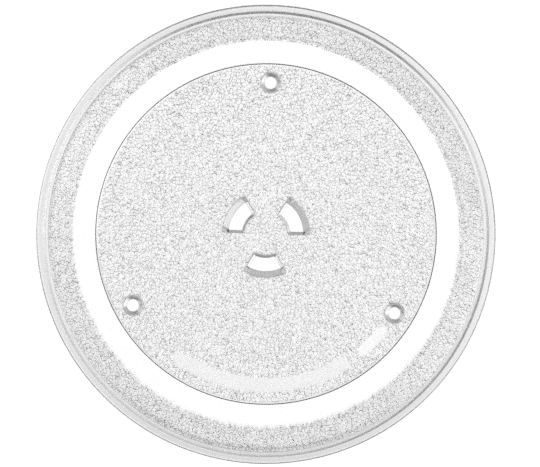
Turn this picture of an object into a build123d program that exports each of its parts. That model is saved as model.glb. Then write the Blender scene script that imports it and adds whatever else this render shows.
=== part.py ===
from build123d import *
from math import asin, degrees
import os

# A microwave turntable plate, pressed in glass as one piece.
# Millimetres, +Z up along the plate's axis, origin on the axis in the plane of the feet.

# Disc
plate_diameter = 255.0
disc_thickness = 6.0

# Rim section, from the edge of the plate inwards
rim_width = 4.9
rim_rise = 1.15
rim_bevel_width = 0.55
rim_bevel_height = 1.7
rim_edge_height = 5.3
lip_width = 3.0
lip_rise = 0.2
outer_wall_run = 2.0
outer_wall_rise = 1.8
inner_wall_run = 1.8
inner_wall_rise = 1.55
flare_width = 11.8
flare_rise = 4.3

# Rounds of the rim section
floor_round = 7.5
wall_foot_round = 0.8
rim_inner_round = 0.8
rim_edge_round = 0.75
bevel_round = 0.5
lip_edge_round = 0.5
lip_root_round = 0.8
heel_round = 1.0
track_round = 6.0
step_round = 0.2

# Smooth track that the rollers run on, set back from the disc
track_width = 14.0
track_step = 0.8
track_step_run = 0.5

# Feet under the edge of the disc
foot_count = 3
foot_first_angle = 90.0
foot_inset = 10.3
foot_height = 10.5
foot_base_diameter = 10.4
foot_end_diameter = 7.0
foot_end_round = 0.3
foot_root_round = 0.6

# Drive lobes around the axis, with more draft on their outer walls
lobe_first_angle = 30.0
lobe_spread_angle = 58.0
lobe_inner_radius = 12.2
lobe_length = 12.0
lobe_inner_draft = 1.2
lobe_side_draft = 1.3
lobe_outer_draft = 3.4
lobe_inner_corner = 0.8
lobe_end_round = 0.15
lobe_root_round = 0.2
lobe_table_clearance = 0.5

# Shallow smooth pads in the pebbled underside
pad_depth = 0.3
long_pad_angle = 270.0
long_pad_span = 64.0
long_pad_width = 8.0
short_pad_length = 20.5
short_pad_width = 6.3
short_pad_gap = 4.3

# Levels and radii that follow
underside_level = foot_height
track_level = underside_level + track_step
floor_level = underside_level + disc_thickness
wall_foot_level = floor_level + flare_rise
rim_inner_level = wall_foot_level + inner_wall_rise
rim_level = rim_inner_level + rim_rise
bevel_level = rim_level - rim_bevel_height
lip_edge_level = rim_level - rim_edge_height
lip_root_level = lip_edge_level - lip_rise
heel_level = lip_root_level - outer_wall_rise

plate_radius = plate_diameter / 2
rim_top_radius = plate_radius - rim_bevel_width
lip_root_radius = plate_radius - lip_width
heel_radius = lip_root_radius - outer_wall_run
rim_inner_radius = plate_radius - rim_width
wall_foot_radius = rim_inner_radius - inner_wall_run
track_outer_radius = wall_foot_radius - flare_width
track_inner_radius = track_outer_radius - track_width
disc_radius = track_inner_radius - track_step_run
foot_circle_radius = disc_radius - foot_inset
lobe_outer_radius = lobe_inner_radius + lobe_length

short_pad_offset = foot_base_diameter / 2 + short_pad_gap + short_pad_length / 2
short_pad_angle = foot_first_angle - 360 / foot_count - degrees(short_pad_offset / foot_circle_radius)


def lobe_outline(level, inner_radius, outer_radius, inset):
    """Gives a ring sector about +X, its inner corners rounded, its sides set in from radial edges."""
    half_angle = lobe_spread_angle / 2
    inner_angle = half_angle - degrees(asin(inset / inner_radius))
    outer_angle = half_angle - degrees(asin(inset / outer_radius))
    with BuildSketch(Plane.XY.offset(level)) as outline:
        with BuildLine():
            inner = CenterArc((0, 0), inner_radius, -inner_angle, 2 * inner_angle)
            outer = CenterArc((0, 0), outer_radius, -outer_angle, 2 * outer_angle)
            Line(inner @ 0, outer @ 0)
            Line(inner @ 1, outer @ 1)
        make_face()
        inner_corners = outline.vertices().sort_by_distance((0, 0))[:2]
        fillet(inner_corners, lobe_inner_corner)
    return outline.sketch


# One drive lobe, about +X, from its flat end up to the disc
lobe_end = lobe_outline(
    lobe_table_clearance,
    lobe_inner_radius + lobe_inner_draft,
    lobe_outer_radius - lobe_outer_draft,
    lobe_side_draft,
)
lobe_root = lobe_outline(underside_level, lobe_inner_radius, lobe_outer_radius, 0)
with BuildPart() as lobe:
    loft([lobe_end, lobe_root], ruled=True)
    fillet(lobe.faces().sort_by(Axis.Z)[0].edges(), lobe_end_round)

# The middle line of the long curved pad
long_pad_line = CenterArc(
    (0, 0), foot_circle_radius, long_pad_angle - long_pad_span / 2, long_pad_span
)

# The plate: its turned section, then the pads, the feet and the lobes
with BuildPart() as turntable_plate:
    with BuildSketch(Plane.XZ):
        with BuildLine():
            section = FilletPolyline(
                (0, floor_level),
                (track_outer_radius, floor_level),
                (wall_foot_radius, wall_foot_level),
                (rim_inner_radius, rim_inner_level),
                (rim_top_radius, rim_level),
                (plate_radius, bevel_level),
                (plate_radius, lip_edge_level),
                (lip_root_radius, lip_root_level),
                (heel_radius, heel_level),
                (track_outer_radius, track_level),
                (track_inner_radius, track_level),
                (disc_radius, underside_level),
                (0, underside_level),
                radius=[
                    floor_round,
                    wall_foot_round,
                    rim_inner_round,
                    rim_edge_round,
                    bevel_round,
                    lip_edge_round,
                    lip_root_round,
                    heel_round,
                    track_round,
                    step_round,
                    step_round,
                ],
            )
            Line(section @ 1, section @ 0)
        make_face()
    revolve(axis=Axis.Z)

    with BuildSketch(Plane.XY.offset(underside_level)):
        SlotArc(long_pad_line, long_pad_width)
        with PolarLocations(foot_circle_radius, 1, start_angle=short_pad_angle):
            SlotOverall(short_pad_length, short_pad_width, rotation=90)
    extrude(amount=pad_depth, mode=Mode.SUBTRACT)

    with PolarLocations(foot_circle_radius, foot_count, start_angle=foot_first_angle):
        Cone(
            foot_end_diameter / 2,
            foot_base_diameter / 2,
            foot_height,
            align=(Align.CENTER, Align.CENTER, Align.MIN),
        )
    foot_edges = turntable_plate.edges(Select.LAST).filter_by(GeomType.CIRCLE).group_by(Axis.Z)
    fillet(foot_edges[0], foot_end_round)
    fillet(foot_edges[-1], foot_root_round)

    with PolarLocations(0, foot_count, start_angle=lobe_first_angle):
        add(lobe.part)
    lobe_roots = turntable_plate.edges(Select.LAST).group_by(Axis.Z)[-1]
    fillet(lobe_roots, lobe_root_round)

turntable_plate.part.label = "turntable_plate"

os.makedirs("parts", exist_ok=True)
export_step(turntable_plate.part, "parts/turntable_plate.step")
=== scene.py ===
import math

import bpy
import numpy as np
from mathutils.geometry import delaunay_2d_cdt
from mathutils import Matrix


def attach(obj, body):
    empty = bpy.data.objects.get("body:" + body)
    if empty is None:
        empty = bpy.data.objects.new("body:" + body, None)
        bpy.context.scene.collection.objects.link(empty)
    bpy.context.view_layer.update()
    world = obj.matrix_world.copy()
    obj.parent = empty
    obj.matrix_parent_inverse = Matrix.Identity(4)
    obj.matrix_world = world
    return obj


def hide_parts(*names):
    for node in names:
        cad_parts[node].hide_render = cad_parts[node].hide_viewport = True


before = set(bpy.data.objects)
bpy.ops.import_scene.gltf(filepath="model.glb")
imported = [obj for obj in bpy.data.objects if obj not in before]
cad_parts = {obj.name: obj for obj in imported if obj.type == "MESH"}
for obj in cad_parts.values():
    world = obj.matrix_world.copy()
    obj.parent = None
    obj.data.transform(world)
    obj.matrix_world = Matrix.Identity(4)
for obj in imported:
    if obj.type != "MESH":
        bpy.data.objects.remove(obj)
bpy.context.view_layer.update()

# Sizes are in millimetres here and in metres in the meshes.
MM = 0.001

# The plate's turned section, as in the solid
plate_radius = 127.5
underside_level = 10.5
disc_thickness = 6.0
rim_width = 4.9
rim_rise = 1.15
rim_bevel_width = 0.55
rim_bevel_height = 1.7
rim_edge_height = 5.3
lip_width = 3.0
lip_rise = 0.2
outer_wall_run = 2.0
outer_wall_rise = 1.8
inner_wall_run = 1.8
inner_wall_rise = 1.55
flare_width = 11.8
flare_rise = 4.3
track_width = 14.0
track_step = 0.8
track_step_run = 0.5
pad_depth = 0.3

# The long pad lies where -y is more than this many times |x|
pad_parting = 1.4

# Rounds of the section
floor_round = 7.5
wall_foot_round = 0.8
rim_inner_round = 0.8
rim_edge_round = 0.75
bevel_round = 0.5
lip_edge_round = 0.5
lip_root_round = 0.8
heel_round = 1.0
track_round = 6.0
step_round = 0.2

# Levels and radii that follow
track_level = underside_level + track_step
floor_level = underside_level + disc_thickness
wall_foot_level = floor_level + flare_rise
rim_inner_level = wall_foot_level + inner_wall_rise
rim_level = rim_inner_level + rim_rise
bevel_level = rim_level - rim_bevel_height
lip_edge_level = rim_level - rim_edge_height
lip_root_level = lip_edge_level - lip_rise
heel_level = lip_root_level - outer_wall_rise
rim_top_radius = plate_radius - rim_bevel_width
lip_root_radius = plate_radius - lip_width
heel_radius = lip_root_radius - outer_wall_run
rim_inner_radius = plate_radius - rim_width
wall_foot_radius = rim_inner_radius - inner_wall_run
track_outer_radius = wall_foot_radius - flare_width
track_inner_radius = track_outer_radius - track_width
disc_radius = track_inner_radius - track_step_run

# Where the pebbled faces of the section begin and end
disc_margin = 0.7
flare_margin = 1.4
flare_lead = 1.8
heel_margin = 0.4
pebble_edge_radius = disc_radius - disc_margin
flare_edge_radius = track_outer_radius - flare_margin

# Mesh resolution and tolerances
turns = 360
arc_step = math.radians(9)
polished_corner = 12
any_corner = 38
hold = 0.1
held_length = 5 * hold
merge_distance = 1e-7
level_tolerance = 0.01
ceiling_gap = 1.0
decimals = 4

# Pebbles
pebble_spacing = 1.65
pebble_jitter = 0.36
peak_height = 0.22
valley_depth = 0.24
height_spread = 0.25
valley_spread = 0.7
edge_gap = 0.45
fade_length = 0.5
random_seed = 11
disc_amount = 0.08
flare_amount = 0.08

# Fine grooves between the pebbles
groove_spacing = 1.9
groove_width = 0.15
groove_patch = 0.9
groove_depth = 0.25
groove_start = 0.38
groove_full = 0.55
pebble_roughness = 0.18

# Glass
glass_colour = (0.985, 0.986, 0.985, 1)
glass_index = 1.51
long_pad_roughness = 0.25
short_pad_roughness = 0.19

# Floor, in metres
floor_half = 15.0
floor_height = -0.0001
floor_colour = (0.92, 0.92, 0.92, 1)
floor_roughness = 0.15
floor_metal = 0.8

# Sky, with angles in degrees
sky_azimuth = 272
sky_tilt = 1.5
horizon_full = 0.814
horizon_gone = 0.844
horizon_light = 0.6
dark_light = 0.2

# Camera and picture, in metres, pixels and degrees
distance = 4.0
pixels_wide = 540
pixels_high = 467
plate_pixels = 459.5
centre_x = 265.98
centre_y = 234.67
camera_lean = 1.5
camera_roll = 1.75


def rounded(corners, rounds):
    """Gives the points of a chain of straight runs, with its inner corners rounded by arcs."""
    corners = [np.array(corner, float) for corner in corners]
    points = [corners[0]]
    for before, corner, after, radius in zip(corners, corners[1:], corners[2:], rounds):
        back = (before - corner) / np.linalg.norm(before - corner)
        ahead = (after - corner) / np.linalg.norm(after - corner)
        half = math.acos(np.dot(back, ahead)) / 2
        middle = (back + ahead) / np.linalg.norm(back + ahead)
        centre = corner + middle * radius / math.sin(half)
        start = corner + back * radius / math.tan(half) - centre
        turn = math.pi - 2 * half
        side = np.array([-start[1], start[0]])
        side *= -np.sign(np.dot(side, back))
        count = max(3, math.ceil(turn / arc_step))
        for angle in np.linspace(0, turn, count + 1):
            points.append(centre + start * math.cos(angle) + side * math.sin(angle))
    points.append(corners[-1])
    held = [points[0]]
    for start, end in zip(points, points[1:]):
        length = np.linalg.norm(end - start)
        if length > held_length:
            step = (end - start) * hold / length
            held += [start + step, end - step]
        held.append(end)
    return np.array(held)


spin = np.linspace(0, 2 * math.pi, turns, endpoint=False)


def ring(point):
    """Gives the circle that a point of the section draws, from its radius and height."""
    radius, height = point
    return np.column_stack([radius * np.cos(spin), radius * np.sin(spin), np.full(turns, height)])


def lathe(path):
    """Turns a path of the section about the axis into triangles."""
    points = np.concatenate([ring(point) for point in path])
    here = np.arange(turns)
    following = (here + 1) % turns
    triangles = []
    for row in range(len(path) - 1):
        a, b = here + row * turns, following + row * turns
        c, d = b + turns, a + turns
        triangles += [np.column_stack([a, c, b]), np.column_stack([a, d, c])]
    return points, np.concatenate(triangles)


def inside(points, edges_from, edges_to):
    """Says which flat points lie within closed loops, by counting the edges to their right."""
    result = np.zeros(len(points), int)
    for (ax, ay), (bx, by) in zip(edges_from, edges_to):
        crosses = (ay > points[:, 1]) != (by > points[:, 1])
        if ay != by:
            at = ax + (points[:, 1] - ay) * (bx - ax) / (by - ay)
            result += crosses & (points[:, 0] < at)
    return result % 2 == 1


def spiral(inner, outer):
    """Spreads jittered points evenly over a ring of the plane."""
    cell = pebble_spacing**2 * math.sqrt(3) / 2
    number = np.arange(int(math.pi * inner**2 / cell), int(math.pi * outer**2 / cell))
    distance = np.sqrt(number * cell / math.pi)
    angle = number * math.pi * (3 - math.sqrt(5))
    shift = rng.uniform(-1, 1, (len(number), 2)) * pebble_jitter * pebble_spacing
    return np.column_stack([distance * np.cos(angle), distance * np.sin(angle)]) + shift


def pebbled(border, border_edges, hole_edges, inner, outer, amount, place):
    """Fills the flat ring between its border edges with pebbles, one dome for each point of the
    spiral. place puts flat points with their heights in space."""
    seeds = spiral(inner, outer)
    if len(hole_edges):
        seeds = seeds[~inside(seeds, border[hole_edges[:, 0]], border[hole_edges[:, 1]])]
    gap = np.min([np.hypot(*(seeds - point).T) for point in border], axis=0)
    away = np.hypot(*seeds.T)
    gap = np.minimum(gap, outer - away)
    if inner:
        gap = np.minimum(gap, away - inner)
    seeds = seeds[gap > edge_gap * pebble_spacing]
    flat = np.concatenate([border, seeds])
    made = delaunay_2d_cdt([tuple(p) for p in flat], border_edges.tolist(), [], 0, merge_distance)
    source = np.array([origin[0] for origin in made[3]])
    corners = source[np.array(made[2])]
    middle = flat[corners].mean(axis=1)
    reach = np.hypot(*middle.T)
    keep = (reach < outer) & (reach > inner)
    if len(hole_edges):
        keep &= ~inside(middle, border[hole_edges[:, 0]], border[hole_edges[:, 1]])
    corners, middle = corners[keep], middle[keep]

    count, faces = len(flat), len(corners)
    points = np.concatenate([flat, middle])
    domed = np.arange(count) >= len(border)
    size = 1 + height_spread * rng.uniform(-1, 1, count)
    peak = np.where(domed, peak_height * size, 0)
    valley = -valley_depth * (1 + valley_spread * rng.uniform(-1, 1, faces))
    heights = np.concatenate([peak, valley])

    # Pairs of triangles along each edge, as directed edges and their opposites
    owner = np.repeat(np.arange(faces), 3)
    tail = corners.ravel()
    head = np.roll(corners, -1, axis=1).ravel()
    lookup = {pair: i for i, pair in enumerate(zip(tail.tolist(), head.tolist()))}
    opposite = np.array([lookup.get(pair, -1) for pair in zip(head.tolist(), tail.tolist())])
    paired, alone = np.flatnonzero(opposite >= 0), np.flatnonzero(opposite < 0)
    left, right = owner[paired] + count, owner[opposite[paired]] + count
    triangles = [
        np.column_stack([tail[paired], left, right]),
        np.column_stack([head[alone], tail[alone], owner[alone] + count]),
    ]
    creases = np.column_stack([left, right])
    space = place(points, heights * amount)
    space[: len(border)] = place(border, np.zeros(len(border)))
    return space, np.concatenate(triangles), creases


rng = np.random.default_rng(random_seed)

# The section, cut into the smooth upper chain, the pebbled flare and the smooth track
heel = np.array([heel_radius, heel_level])
flare_foot = np.array([track_outer_radius, track_level])
heel_cut = tuple(heel + heel_margin * (flare_foot - heel) / np.linalg.norm(flare_foot - heel))
flare_cut = (flare_edge_radius, track_level)
disc_cut = (pebble_edge_radius, underside_level)
upper_path = rounded(
    [
        (0, floor_level),
        (track_outer_radius, floor_level),
        (wall_foot_radius, wall_foot_level),
        (rim_inner_radius, rim_inner_level),
        (rim_top_radius, rim_level),
        (plate_radius, bevel_level),
        (plate_radius, lip_edge_level),
        (lip_root_radius, lip_root_level),
        tuple(heel),
        heel_cut,
    ],
    [
        floor_round,
        wall_foot_round,
        rim_inner_round,
        rim_edge_round,
        bevel_round,
        lip_edge_round,
        lip_root_round,
        heel_round,
    ],
)
flare_path = rounded([flare_cut, tuple(flare_foot), heel_cut], [track_round])
track_path = rounded(
    [flare_cut, (track_inner_radius, track_level), (disc_radius, underside_level), disc_cut],
    [step_round, step_round],
)

# Lobes, feet and pads, as the solid has them below the disc
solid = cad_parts["turntable_plate"].data
solid.calc_loop_triangles()
solid_points = np.empty(len(solid.vertices) * 3)
solid.vertices.foreach_get("co", solid_points)
solid_faces = np.empty(len(solid.loop_triangles) * 3, int)
solid.loop_triangles.foreach_get("vertices", solid_faces)
solid_points, same = np.unique(
    np.round(solid_points.reshape(-1, 3) / MM, decimals), axis=0, return_inverse=True
)
solid_faces = same.ravel()[solid_faces].reshape(-1, 3)
reach = np.hypot(solid_points[:, 0], solid_points[:, 1])[solid_faces].max(axis=1)
level = solid_points[solid_faces][:, :, 2]
on_disc = (np.abs(level - underside_level) < level_tolerance).all(axis=1)
below_floor = level.max(axis=1) < floor_level - ceiling_gap
relief = solid_faces[(reach < pebble_edge_radius) & below_floor & ~on_disc]
directed = np.concatenate([relief[:, [0, 1]], relief[:, [1, 2]], relief[:, [2, 0]]])
met = {tuple(sorted(pair)) for pair in directed.tolist()}
seen = {}
for pair in directed.tolist():
    edge = tuple(sorted(pair))
    seen[edge] = seen.get(edge, 0) + 1
root_edges = np.array([pair for pair in met if seen[pair] == 1])

# The pebbled disc around them
root_points, root_edges = np.unique(root_edges, return_inverse=True)
root_edges = root_edges.reshape(-1, 2)
roots = solid_points[root_points]
circle = np.column_stack([np.arange(turns), (np.arange(turns) + 1) % turns])
disc_border = np.concatenate([ring(disc_cut), roots])


def on_the_disc(points, heights):
    """Puts flat points on the disc's underside, with their heights downwards."""
    return np.column_stack([points, underside_level - heights])


disc_points, disc_faces, disc_creases = pebbled(
    disc_border[:, :2],
    np.concatenate([circle, root_edges + turns]),
    root_edges + turns,
    0,
    pebble_edge_radius,
    disc_amount,
    on_the_disc,
)
disc_points[: len(disc_border)] = disc_border

# The pebbled flare, laid flat by the length along the section
flare_length = np.concatenate([[0], np.cumsum(np.hypot(*np.diff(flare_path, axis=0).T))])
flare_along = np.gradient(flare_path, axis=0)
flare_along /= np.hypot(*flare_along.T)[:, None]
unrolled_inner = flare_edge_radius
unrolled_outer = flare_edge_radius + flare_length[-1]


def on_the_flare(points, heights):
    """Wraps flat points round the flare's underside, with their heights outwards."""
    length = np.hypot(*points.T) - flare_edge_radius
    angle = np.arctan2(points[:, 1], points[:, 0])
    fade = np.minimum(length - flare_lead, flare_length[-1] - length) / fade_length
    heights = heights * np.clip(fade, 0, 1)
    radius = np.interp(length, flare_length, flare_path[:, 0])
    height = np.interp(length, flare_length, flare_path[:, 1])
    along = [np.interp(length, flare_length, flare_along[:, i]) for i in (0, 1)]
    radius = radius + heights * along[1]
    height = height - heights * along[0]
    return np.column_stack([radius * np.cos(angle), radius * np.sin(angle), height])


flat_rings = [
    np.column_stack([radius * np.cos(spin), radius * np.sin(spin)])
    for radius in (unrolled_inner, unrolled_outer)
]
flare_points, flare_faces, flare_creases = pebbled(
    np.concatenate(flat_rings),
    np.concatenate([circle, circle + turns]),
    np.empty((0, 2), int),
    unrolled_inner,
    unrolled_outer,
    flare_amount,
    on_the_flare,
)
flare_points[: 2 * turns] = np.concatenate([ring(flare_cut), ring(heel_cut)])

# All pieces of the surface in one closed mesh
upper_points, upper_faces = lathe(upper_path)
track_points, track_faces = lathe(track_path)
corners = solid_points[relief]
pad_rise = np.abs(corners[:, :, 2] - underside_level - pad_depth)
pad_floor = (pad_rise < level_tolerance).all(axis=1)
middles = corners.mean(axis=1)
long_pad = pad_floor & (middles[:, 1] < -np.abs(middles[:, 0]) * pad_parting)
short_pad = pad_floor & ~long_pad
pieces = [
    (upper_points, upper_faces, 0),
    (track_points, track_faces, 0),
    (solid_points, relief[~pad_floor], 0),
    (disc_points, disc_faces, 1),
    (flare_points, flare_faces, 1),
    (solid_points, relief[long_pad], 2),
    (solid_points, relief[short_pad], 3),
]
starts = np.cumsum([0] + [len(points) for points, faces, slot in pieces])
all_points = np.concatenate([points for points, faces, slot in pieces])
all_faces = np.concatenate([faces + start for (points, faces, slot), start in zip(pieces, starts)])
slots = np.concatenate([np.full(len(faces), slot) for points, faces, slot in pieces])
creases = np.concatenate([disc_creases + starts[3], flare_creases + starts[4]])
points, same = np.unique(np.round(all_points, decimals), axis=0, return_inverse=True)
same = same.ravel()
faces, creases = same[all_faces], same[creases]
whole = (faces != np.roll(faces, -1, axis=1)).all(axis=1)
faces, slots = faces[whole], slots[whole]
used, faces = np.unique(faces, return_inverse=True)
faces = faces.reshape(-1, 3)
renumber = np.full(len(points), -1)
renumber[used] = np.arange(len(used))
creases = renumber[creases]

mesh = bpy.data.meshes.new("turntable_plate_glass")
mesh.from_pydata((points[used] * MM).tolist(), [], faces.tolist())
mesh.update(calc_edges=True)
mesh.polygons.foreach_set("use_smooth", np.ones(len(faces), bool))
mesh.polygons.foreach_set("material_index", slots.astype(np.int32))


def key(pairs):
    """Gives one number for each pair of points, whatever their order."""
    pairs = np.sort(pairs, axis=1)
    return pairs[:, 0] * len(used) + pairs[:, 1]


def sharp_edges(angle):
    """Says which edges turn by more than an angle."""
    mesh.set_sharp_from_angle(angle=math.radians(angle))
    flags = np.empty(len(mesh.edges), bool)
    mesh.attributes["sharp_edge"].data.foreach_get("value", flags)
    return flags


# Smooth shading, with sharp edges between pebbles and at the corners of the polished faces
ends = np.empty(len(mesh.edges) * 2, int)
mesh.edges.foreach_get("vertices", ends)
edge_keys = key(ends.reshape(-1, 2))
rough = faces[slots == 1]
rough_keys = key(np.concatenate([rough[:, [0, 1]], rough[:, [1, 2]], rough[:, [2, 0]]]))
marks = np.isin(edge_keys, key(creases))
marks |= sharp_edges(polished_corner) & ~np.isin(edge_keys, rough_keys)
marks |= sharp_edges(any_corner)
mesh.attributes["sharp_edge"].data.foreach_set("value", marks)

plate = bpy.data.objects.new("turntable_plate_glass", mesh)
bpy.context.scene.collection.objects.link(plate)

# Normals that follow the large faces, so that the small rounds leave the shading of the walls true
weigh = plate.modifiers.new("weigh", "WEIGHTED_NORMAL")
weigh.mode = "FACE_AREA"
weigh.weight = 50
weigh.keep_sharp = True
bpy.context.view_layer.objects.active = plate
bpy.ops.object.modifier_apply(modifier=weigh.name)


def glass(name, roughness):
    """Makes clear glass."""
    material = bpy.data.materials.new(name)
    material.use_nodes = True
    shader = material.node_tree.nodes["Principled BSDF"]
    shader.inputs["Base Color"].default_value = glass_colour
    shader.inputs["Roughness"].default_value = roughness
    shader.inputs["IOR"].default_value = glass_index
    shader.inputs["Transmission Weight"].default_value = 1.0
    return material


def grooves(material):
    """Cuts a fine net of shallow grooves of uneven depth into a material's surface."""
    nodes, links = material.node_tree.nodes, material.node_tree.links
    place = nodes.new("ShaderNodeTexCoord")
    net = nodes.new("ShaderNodeTexVoronoi")
    net.feature = "DISTANCE_TO_EDGE"
    net.inputs["Scale"].default_value = 1 / (groove_spacing * MM)
    links.new(place.outputs["Object"], net.inputs["Vector"])
    side = nodes.new("ShaderNodeMapRange")
    side.interpolation_type = "SMOOTHSTEP"
    side.inputs["From Max"].default_value = groove_width / 2 / groove_spacing
    side.inputs["To Min"].default_value = -1
    side.inputs["To Max"].default_value = 0
    links.new(net.outputs["Distance"], side.inputs["Value"])
    patches = nodes.new("ShaderNodeTexNoise")
    patches.inputs["Scale"].default_value = 1 / (groove_patch * MM)
    patches.inputs["Detail"].default_value = 0
    links.new(place.outputs["Object"], patches.inputs["Vector"])
    depth = nodes.new("ShaderNodeMapRange")
    depth.inputs["From Min"].default_value = groove_start
    depth.inputs["From Max"].default_value = groove_full
    links.new(patches.outputs["Fac"], depth.inputs["Value"])
    height = nodes.new("ShaderNodeMath")
    height.operation = "MULTIPLY"
    links.new(side.outputs["Result"], height.inputs[0])
    links.new(depth.outputs["Result"], height.inputs[1])
    bump = nodes.new("ShaderNodeBump")
    bump.inputs["Distance"].default_value = groove_depth * MM
    links.new(height.outputs["Value"], bump.inputs["Height"])
    links.new(bump.outputs["Normal"], nodes["Principled BSDF"].inputs["Normal"])


mesh.materials.append(glass("polished_glass", 0.0))
mesh.materials.append(glass("pebbled_glass", pebble_roughness))
mesh.materials.append(glass("long_pad_glass", long_pad_roughness))
mesh.materials.append(glass("short_pad_glass", short_pad_roughness))
grooves(mesh.materials["pebbled_glass"])
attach(plate, "root")
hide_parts("turntable_plate")

# Floor
floor_mesh = bpy.data.meshes.new("floor")
signs = [(-1, -1), (1, -1), (1, 1), (-1, 1)]
floor_corners = [(x * floor_half, y * floor_half, floor_height) for x, y in signs]
floor_mesh.from_pydata(floor_corners, [], [(0, 1, 2, 3)])
floor = bpy.data.objects.new("floor", floor_mesh)
bpy.context.scene.collection.objects.link(floor)
paint = bpy.data.materials.new("floor_paint")
paint.use_nodes = True
shader = paint.node_tree.nodes["Principled BSDF"]
shader.inputs["Base Color"].default_value = floor_colour
shader.inputs["Roughness"].default_value = floor_roughness
shader.inputs["Metallic"].default_value = floor_metal
floor_mesh.materials.append(paint)

# World
world = bpy.data.worlds.new("studio")
bpy.context.scene.world = world
world.use_nodes = True
nodes, links = world.node_tree.nodes, world.node_tree.links
where = nodes.new("ShaderNodeTexCoord")


def between(value, start, end, low, high):
    """Maps a value's range to a range of brightness."""
    node = nodes.new("ShaderNodeMapRange")
    links.new(value, node.inputs["Value"])
    node.inputs["From Min"].default_value = start
    node.inputs["From Max"].default_value = end
    node.inputs["To Min"].default_value = low
    node.inputs["To Max"].default_value = high
    return node.outputs["Result"]


def towards(azimuth, tilt):
    """Gives the cosine of the angle to a direction of the sky."""
    azimuth, tilt = math.radians(azimuth), math.radians(tilt)
    flat = math.sin(tilt)
    node = nodes.new("ShaderNodeVectorMath")
    node.operation = "DOT_PRODUCT"
    links.new(where.outputs["Generated"], node.inputs[0])
    direction = (flat * math.cos(azimuth), flat * math.sin(azimuth), math.cos(tilt))
    node.inputs[1].default_value = direction
    return node.outputs["Value"]


def glow(azimuth, tilt, full, gone, strength):
    """Makes a soft round light in the sky, from its direction and the angles where it is full
    and gone."""
    start, end = math.cos(math.radians(gone)), math.cos(math.radians(full))
    return between(towards(azimuth, tilt), start, end, 0, strength)


def total(first, second):
    """Adds two brightnesses."""
    node = nodes.new("ShaderNodeMath")
    links.new(first, node.inputs[0])
    links.new(second, node.inputs[1])
    return node.outputs["Value"]


# Sky: darker around the top than towards the horizon, with soft lights overhead and beside
overhead = towards(sky_azimuth, sky_tilt)
sky = between(overhead, horizon_full, horizon_gone, horizon_light, dark_light)
for light in (
    glow(azimuth=237, tilt=1.8, full=0, gone=8.5, strength=0.74),
    glow(azimuth=26, tilt=10.4, full=0, gone=25.6, strength=0.79),
    glow(azimuth=333, tilt=31.5, full=11.5, gone=20.9, strength=0.98),
    glow(azimuth=209, tilt=19.3, full=3.0, gone=11.0, strength=1.09),
    glow(azimuth=160, tilt=39.0, full=14.0, gone=19.0, strength=0.53),
):
    sky = total(sky, light)
links.new(sky, nodes["Background"].inputs["Strength"])
nodes["Background"].inputs["Color"].default_value = (1, 1, 1, 1)

# Camera
camera = bpy.data.cameras.new("camera")
eye = bpy.data.objects.new("camera", camera)
bpy.context.scene.collection.objects.link(eye)
camera.sensor_fit = "HORIZONTAL"
camera.sensor_width = 36.0
view_width = 2 * plate_radius * MM * pixels_wide / plate_pixels
camera.lens = camera.sensor_width * distance / view_width
camera.shift_x = (pixels_wide / 2 - centre_x) / pixels_wide
camera.shift_y = (centre_y - pixels_high / 2) / pixels_wide
lean = math.radians(camera_lean)
roll = math.radians(camera_roll)
away = distance * math.sin(lean)
height = rim_level * MM + distance * math.cos(lean)
eye.location = (-away * math.sin(roll), away * math.cos(roll), height)
eye.rotation_euler = (-lean, 0, roll)
bpy.context.scene.camera = eye
bpy.context.scene.view_settings.view_transform = "Standard"
bpy.context.scene.cycles.use_denoising = False
